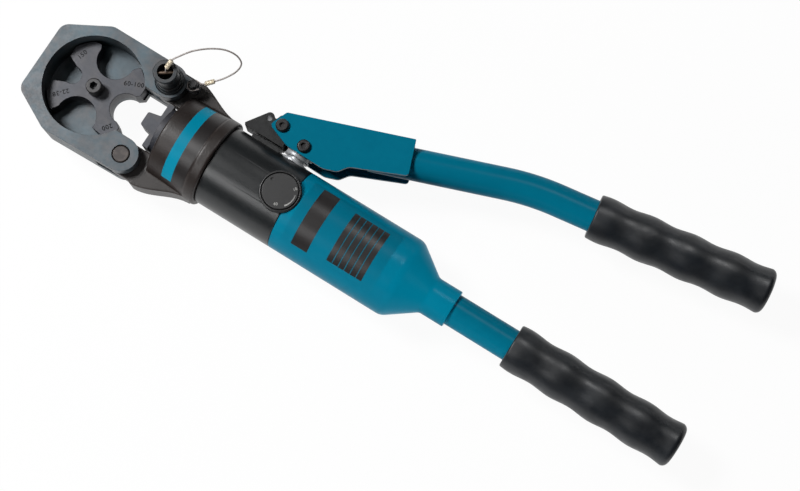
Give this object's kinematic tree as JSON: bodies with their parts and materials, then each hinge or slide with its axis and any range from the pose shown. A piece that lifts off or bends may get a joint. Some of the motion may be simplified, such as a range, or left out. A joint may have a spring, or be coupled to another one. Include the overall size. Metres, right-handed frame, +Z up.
{
  "type": "hydraulic crimping tool",
  "caption": "Hand pumped hydraulic crimping tool: hinged jaw with a turning die turret, ram with an indenter, pump body with a setting dial, fixed handle and swinging pump lever.",
  "frame": {"origin": "middle of the part's footprint, level with the underside of the yoke's rear collar", "axes": "+X along the ram axis from the jaw towards the fixed handle, +Y towards the pump lever, +Z up through the setting dial"},
  "size_m": [0.5049, 0.1802, 0.0766],
  "materials": {
    "jaw_steel": "satin, blue-grey",
    "turret_steel": "satin, dark",
    "black_screw": "satin black oxide",
    "plain_steel": "satin",
    "spring_steel": "satin",
    "lock_steel": "satin, dark",
    "bright_steel": "polished",
    "ferrule_metal": "bright",
    "cast_paint": "satin over a cast surface",
    "black_paint": "satin",
    "dark_rim": "gloss",
    "brass": "satin",
    "seal_rubber": "matt",
    "teal_paint": "satin",
    "grip_rubber": "matt, fine grain"
  },
  "bodies": {
    "frame": {"yoke": "cast_paint", "rod_wiper": "seal_rubber", "return_spring": "spring_steel", "hinge_pin": "plain_steel", "hinge_clip": "black_screw", "pump_body": "black_paint", "check_balls": "plain_steel", "check_springs": "spring_steel", "dial_rim": "dark_rim", "relief_cartridge": "brass", "pump_lug": "black_paint", "release_spring": "spring_steel", "plunger_gland": "brass", "plunger_seal": "seal_rubber", "reservoir_sleeve": "teal_paint", "oil_bladder": "seal_rubber", "bladder_band": "plain_steel", "handle_tube": "teal_paint", "handle_grip": "grip_rubber"},
    "jaw": {"jaw_frame": "jaw_steel", "turret_screw": "black_screw", "index_plunger": "plain_steel", "lock_bush": "lock_steel", "tether_post": "black_screw", "tether_wire": "bright_steel", "tether_ferrules": "ferrule_metal"},
    "turret": {"die_turret": "turret_steel"},
    "lock": {"lock_pin": "lock_steel", "lock_cross_bar": "bright_steel"},
    "ram": {"ram": "turret_steel", "piston_seal": "seal_rubber", "indenter": "turret_steel", "indenter_screws": "black_screw"},
    "lever": {"lever_channel": "teal_paint", "lever_tube": "teal_paint", "lever_grip": "grip_rubber", "pivot_pin": "plain_steel", "plunger_pin": "plain_steel", "lever_pin_clips": "black_screw"},
    "plunger": {"pump_plunger": "bright_steel"},
    "trigger": {"release_trigger": "black_paint"},
    "release": {"release_pin": "plain_steel"},
    "dial": {"setting_dial": "black_paint"}
  },
  "joints": [
    {"name": "jaw_swing", "type": "hinge", "parent": "frame", "child": "jaw", "pos_m": [-0.1669, -0.07754, 0.032], "axis": [0, 0, 1], "range_deg": [0, 90]},
    {"name": "turret_turn", "type": "hinge", "parent": "jaw", "child": "turret", "pos_m": [-0.2094, -0.04754, 0.032], "axis": [0, 0, 1], "continuous": true},
    {"name": "lock_slide", "type": "slide", "parent": "jaw", "child": "lock", "axis": [0, 0, -1], "range_m": [0, 0.011], "deforming": ["tether_wire"]},
    {"name": "ram_slide", "type": "slide", "parent": "frame", "child": "ram", "axis": [-1, 0, 0], "range_m": [0, 0.0165], "deforming": ["return_spring"]},
    {"name": "lever_swing", "type": "hinge", "parent": "frame", "child": "lever", "pos_m": [-0.0849, -0.00353, 0.032], "axis": [0, 0, 1], "range_deg": [-4, 30]},
    {"name": "plunger_slide", "type": "slide", "parent": "frame", "child": "plunger", "axis": [0, 1, 0], "range_m": [-0.0015, 0.0107]},
    {"name": "trigger_press", "type": "hinge", "parent": "frame", "child": "trigger", "pos_m": [-0.0849, -0.00353, 0.032], "axis": [0, 0, 1], "range_deg": [0, 5], "stiffness_Nm_per_rad": 1.5},
    {"name": "release_slide", "type": "slide", "parent": "frame", "child": "release", "axis": [0, -1, 0], "range_m": [0, 0.00095], "deforming": ["release_spring"]},
    {"name": "dial_turn", "type": "hinge", "parent": "frame", "child": "dial", "pos_m": [-0.0589, -0.04473, 0.061], "axis": [0, 0, 1], "range_deg": [0, 270]}
  ],
  "couplings": [
    {"joint": "plunger_slide", "follows": "lever_swing", "m_per_rad": 0.02025},
    {"joint": "release_slide", "follows": "trigger_press", "m_per_rad": 0.0105}
  ]
}
